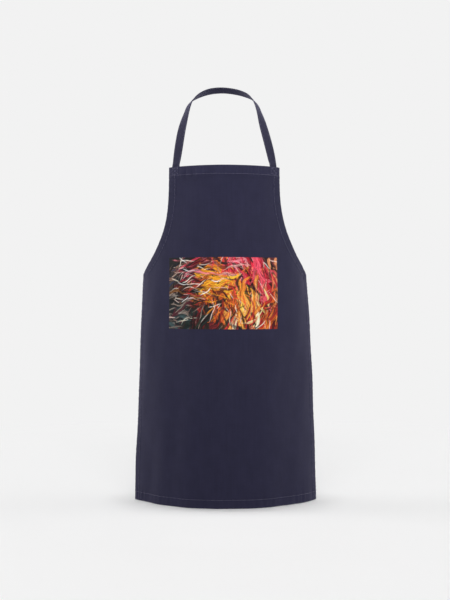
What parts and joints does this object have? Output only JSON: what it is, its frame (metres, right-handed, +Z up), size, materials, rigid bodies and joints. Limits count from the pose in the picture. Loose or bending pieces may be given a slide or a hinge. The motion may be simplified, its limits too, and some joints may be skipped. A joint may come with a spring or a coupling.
{
  "type": "artist smock apron",
  "caption": "Bib apron for painting: a curved twill panel with turned hems and a printed panel, a sewn neck loop and two waist ties that hang behind the sides.",
  "frame": {"origin": "where the neck strap rests on the wearer's nape, on the middle of the strap", "axes": "+X to the viewer's right when facing the apron's front, +Y through the wearer from front to back, +Z up"},
  "size_m": [0.443, 0.246, 1.026],
  "materials": {
    "twill": "matte navy polyester-cotton twill",
    "webbing": "matte navy self-fabric tape, folded and sewn",
    "thread": "navy spun polyester sewing thread",
    "printed_film": "thin satin transfer print, abstract paint strokes"
  },
  "bodies": {
    "neck_loop": {"neck_strap": "webbing"},
    "apron": {"apron_panel": "twill", "top_hem": "twill", "bottom_hem": "twill", "armhole_hem_left": "twill", "armhole_hem_right": "twill", "side_hem_left": "twill", "side_hem_right": "twill", "neck_strap_end_left": "webbing", "neck_strap_end_right": "webbing", "waist_tie_end_left": "webbing", "waist_tie_end_right": "webbing", "top_hem_stitching": "thread", "bottom_hem_stitching": "thread", "armhole_stitching_left": "thread", "armhole_stitching_right": "thread", "side_stitching_left": "thread", "side_stitching_right": "thread", "neck_strap_tack_left": "thread", "neck_strap_tack_right": "thread", "waist_tie_tack_left": "thread", "waist_tie_tack_right": "thread", "printed_panel": "printed_film"},
    "tie_left": {"waist_tie_left": "webbing"},
    "tie_right": {"waist_tie_right": "webbing"}
  },
  "joints": [
    {"name": "bib_swing", "type": "hinge", "parent": "neck_loop", "child": "apron", "pos_m": [0, -0.1906, -0.217], "axis": [1, 0, 0], "range_deg": [-30, 30]},
    {"name": "tie_left_swing", "type": "hinge", "parent": "apron", "child": "tie_left", "pos_m": [-0.19887, -0.06169, -0.5], "axis": [1, 0, 0], "range_deg": [0, 90]},
    {"name": "tie_right_swing", "type": "hinge", "parent": "apron", "child": "tie_right", "pos_m": [0.19887, -0.06169, -0.5], "axis": [1, 0, 0], "range_deg": [0, 90]}
  ]
}
